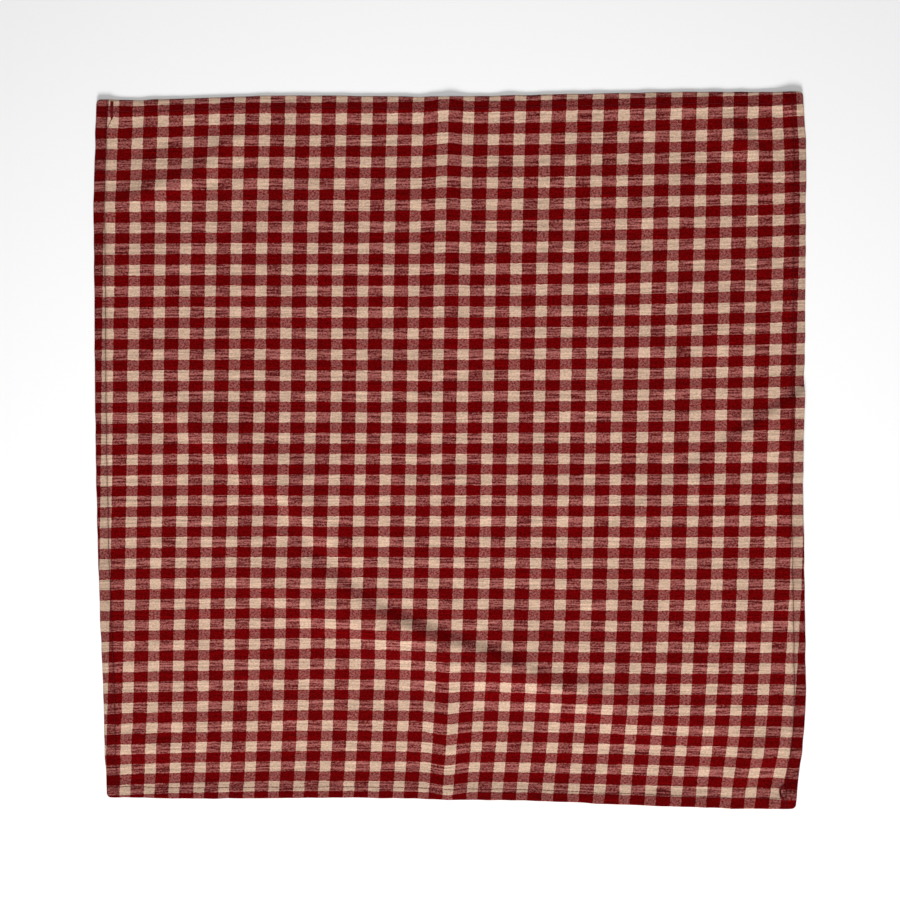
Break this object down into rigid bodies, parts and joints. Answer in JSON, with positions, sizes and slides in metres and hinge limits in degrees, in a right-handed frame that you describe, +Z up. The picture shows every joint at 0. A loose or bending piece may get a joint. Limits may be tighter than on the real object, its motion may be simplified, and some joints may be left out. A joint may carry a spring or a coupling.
{
  "type": "check cotton tablecloth",
  "caption": "Square woven check cotton cloth laid flat, turned and lockstitched hems on all four sides.",
  "frame": {"origin": "under the middle of the cloth, on the surface it lies on", "axes": "+Z up out of the face of the cloth, +Y from the front edge to the back edge, +X from the left edge to the right edge"},
  "size_m": [0.457, 0.457, 0.0027],
  "materials": {
    "cotton_check": "plain weave cotton, burgundy and beige check, matt",
    "thread": "spun sewing thread, burgundy, slight sheen"
  },
  "bodies": {
    "root": {"cloth_panel": "cotton_check", "back_hem": "cotton_check", "front_hem": "cotton_check", "left_hem": "cotton_check", "right_hem": "cotton_check", "back_needle_thread": "thread", "front_needle_thread": "thread", "left_needle_thread": "thread", "right_needle_thread": "thread", "back_bobbin_thread": "thread", "front_bobbin_thread": "thread", "left_bobbin_thread": "thread", "right_bobbin_thread": "thread"}
  },
  "joints": []
}
